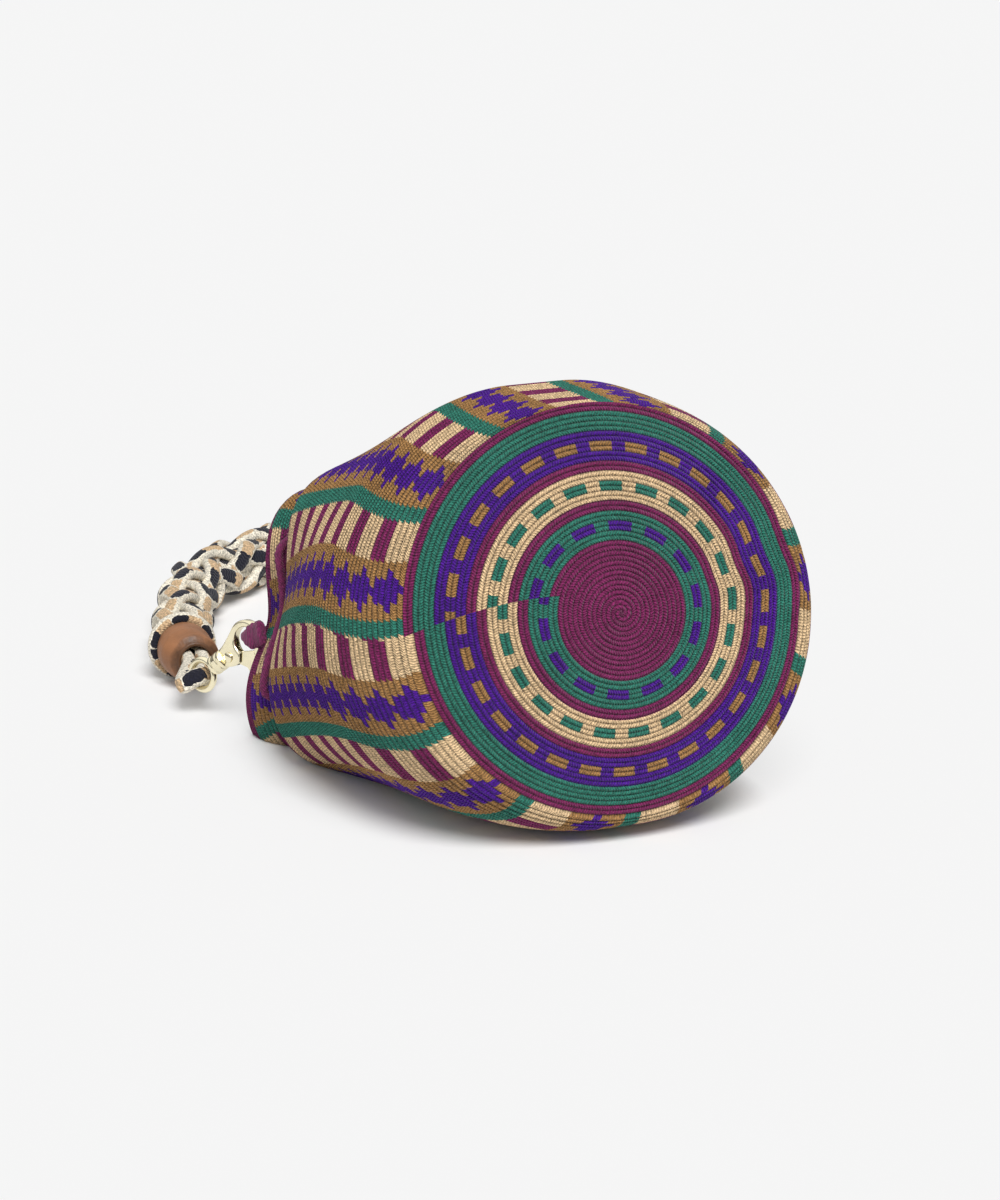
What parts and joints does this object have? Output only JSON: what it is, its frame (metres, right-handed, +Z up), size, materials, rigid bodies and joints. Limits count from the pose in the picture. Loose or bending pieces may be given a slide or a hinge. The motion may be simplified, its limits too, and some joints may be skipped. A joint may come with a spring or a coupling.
{
  "type": "crossbody bag",
  "caption": "Soft crocheted bucket bag lying on its side, with a round base, a drawstring mouth and a braided rope strap that clips to loops on the rim with swivel trigger snaps.",
  "frame": {"origin": "on the floor, at the middle of the flat that the lying bag rests on", "axes": "+Z up, -Y out of the bag's round base, +Y out of its mouth towards the strap, +X to the bag's right seen from the base"},
  "size_m": [0.4208, 0.5811, 0.184],
  "materials": {
    "crochet_cotton": "tapestry crochet in plum, green, purple, cream and tan yarn",
    "plum_cord": "matte twisted cotton cord",
    "braid_rope": "braided cream rope with navy and tan patches",
    "tan_leather": "smooth stitched leather",
    "pale_gold": "polished pale gold plating",
    "spring_steel": "bare drawn wire"
  },
  "bodies": {
    "bag": {"bag_body": "crochet_cotton", "drawstring": "plum_cord", "near_loop_tab": "plum_cord", "far_loop_tab": "plum_cord", "strap_braid": "braid_rope", "near_end_loop": "braid_rope", "far_end_loop": "braid_rope", "near_leather_wrap": "tan_leather", "far_leather_wrap": "tan_leather", "near_rope_collar": "braid_rope", "far_rope_collar": "braid_rope", "near_swivel_eye": "pale_gold", "far_swivel_eye": "pale_gold"},
    "near_snap": {"near_snap_body": "pale_gold", "near_snap_rivet": "pale_gold", "near_snap_spring": "spring_steel"},
    "near_gate": {"near_snap_gate": "pale_gold"},
    "far_snap": {"far_snap_body": "pale_gold", "far_snap_rivet": "pale_gold", "far_snap_spring": "spring_steel"},
    "far_gate": {"far_snap_gate": "pale_gold"}
  },
  "joints": [
    {"name": "near_swivel", "type": "hinge", "parent": "bag", "child": "near_snap", "pos_m": [-0.07656, 0.11989, 0.03032], "axis": [-0.333, 0.7142, -0.6157], "range_deg": [-15, 15]},
    {"name": "near_gate_hinge", "type": "hinge", "parent": "near_snap", "child": "near_gate", "pos_m": [-0.07506, 0.11621, 0.03141], "axis": [-0.9313, -0.3513, 0.0962], "range_deg": [0, 18], "stiffness_Nm_per_rad": 0.01, "springref_deg": -14.32, "deforming": ["near_snap_spring"]},
    {"name": "far_swivel", "type": "hinge", "parent": "bag", "child": "far_snap", "pos_m": [0.08142, 0.1034, 0.02692], "axis": [0.5329, 0.6351, -0.5592], "range_deg": [-15, 15]},
    {"name": "far_gate_hinge", "type": "hinge", "parent": "far_snap", "child": "far_gate", "pos_m": [0.07983, 0.09979, 0.02808], "axis": [-0.8024, 0.1694, -0.5722], "range_deg": [0, 18], "stiffness_Nm_per_rad": 0.01, "springref_deg": -14.32, "deforming": ["far_snap_spring"]}
  ]
}
